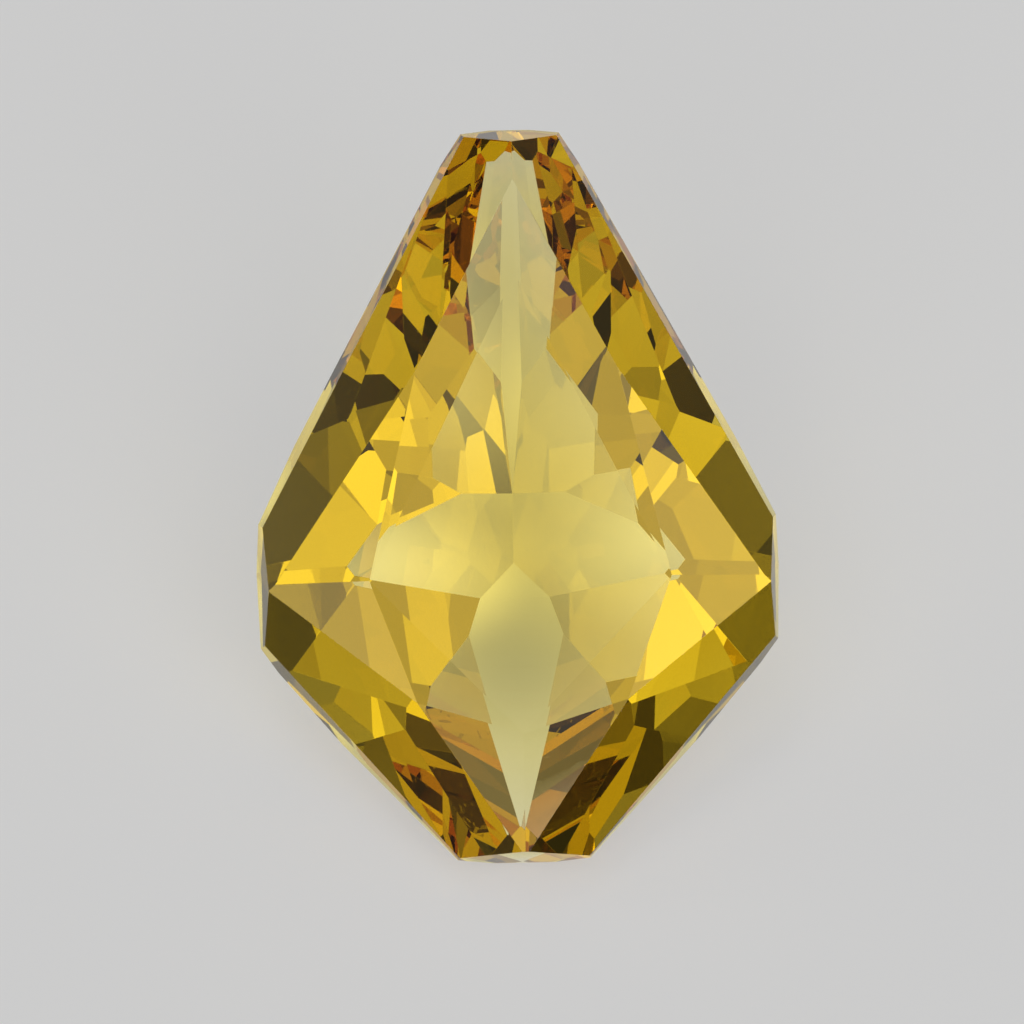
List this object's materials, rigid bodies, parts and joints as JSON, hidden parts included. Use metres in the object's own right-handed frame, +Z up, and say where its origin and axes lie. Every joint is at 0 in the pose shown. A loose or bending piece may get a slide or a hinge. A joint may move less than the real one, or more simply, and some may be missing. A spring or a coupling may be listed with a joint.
{
  "type": "kite-cut citrine gemstone",
  "caption": "Loose faceted gemstone of clear golden citrine in an elongated kite cut, for setting in jewellery or for display.",
  "frame": {"origin": "middle of the bounding box at the ground, under the stone as it lies on its blunt-end pavilion main", "axes": "+Z up from the ground the stone lies on; +Y from the blunt end towards the narrow tip, seen from above; the table faces -Y and up; +X to the right seen from the table's side"},
  "size_m": [0.0104, 0.0126, 0.009],
  "materials": {
    "citrine": "polished"
  },
  "bodies": {
    "root": {"citrine_stone": "citrine"}
  },
  "joints": []
}
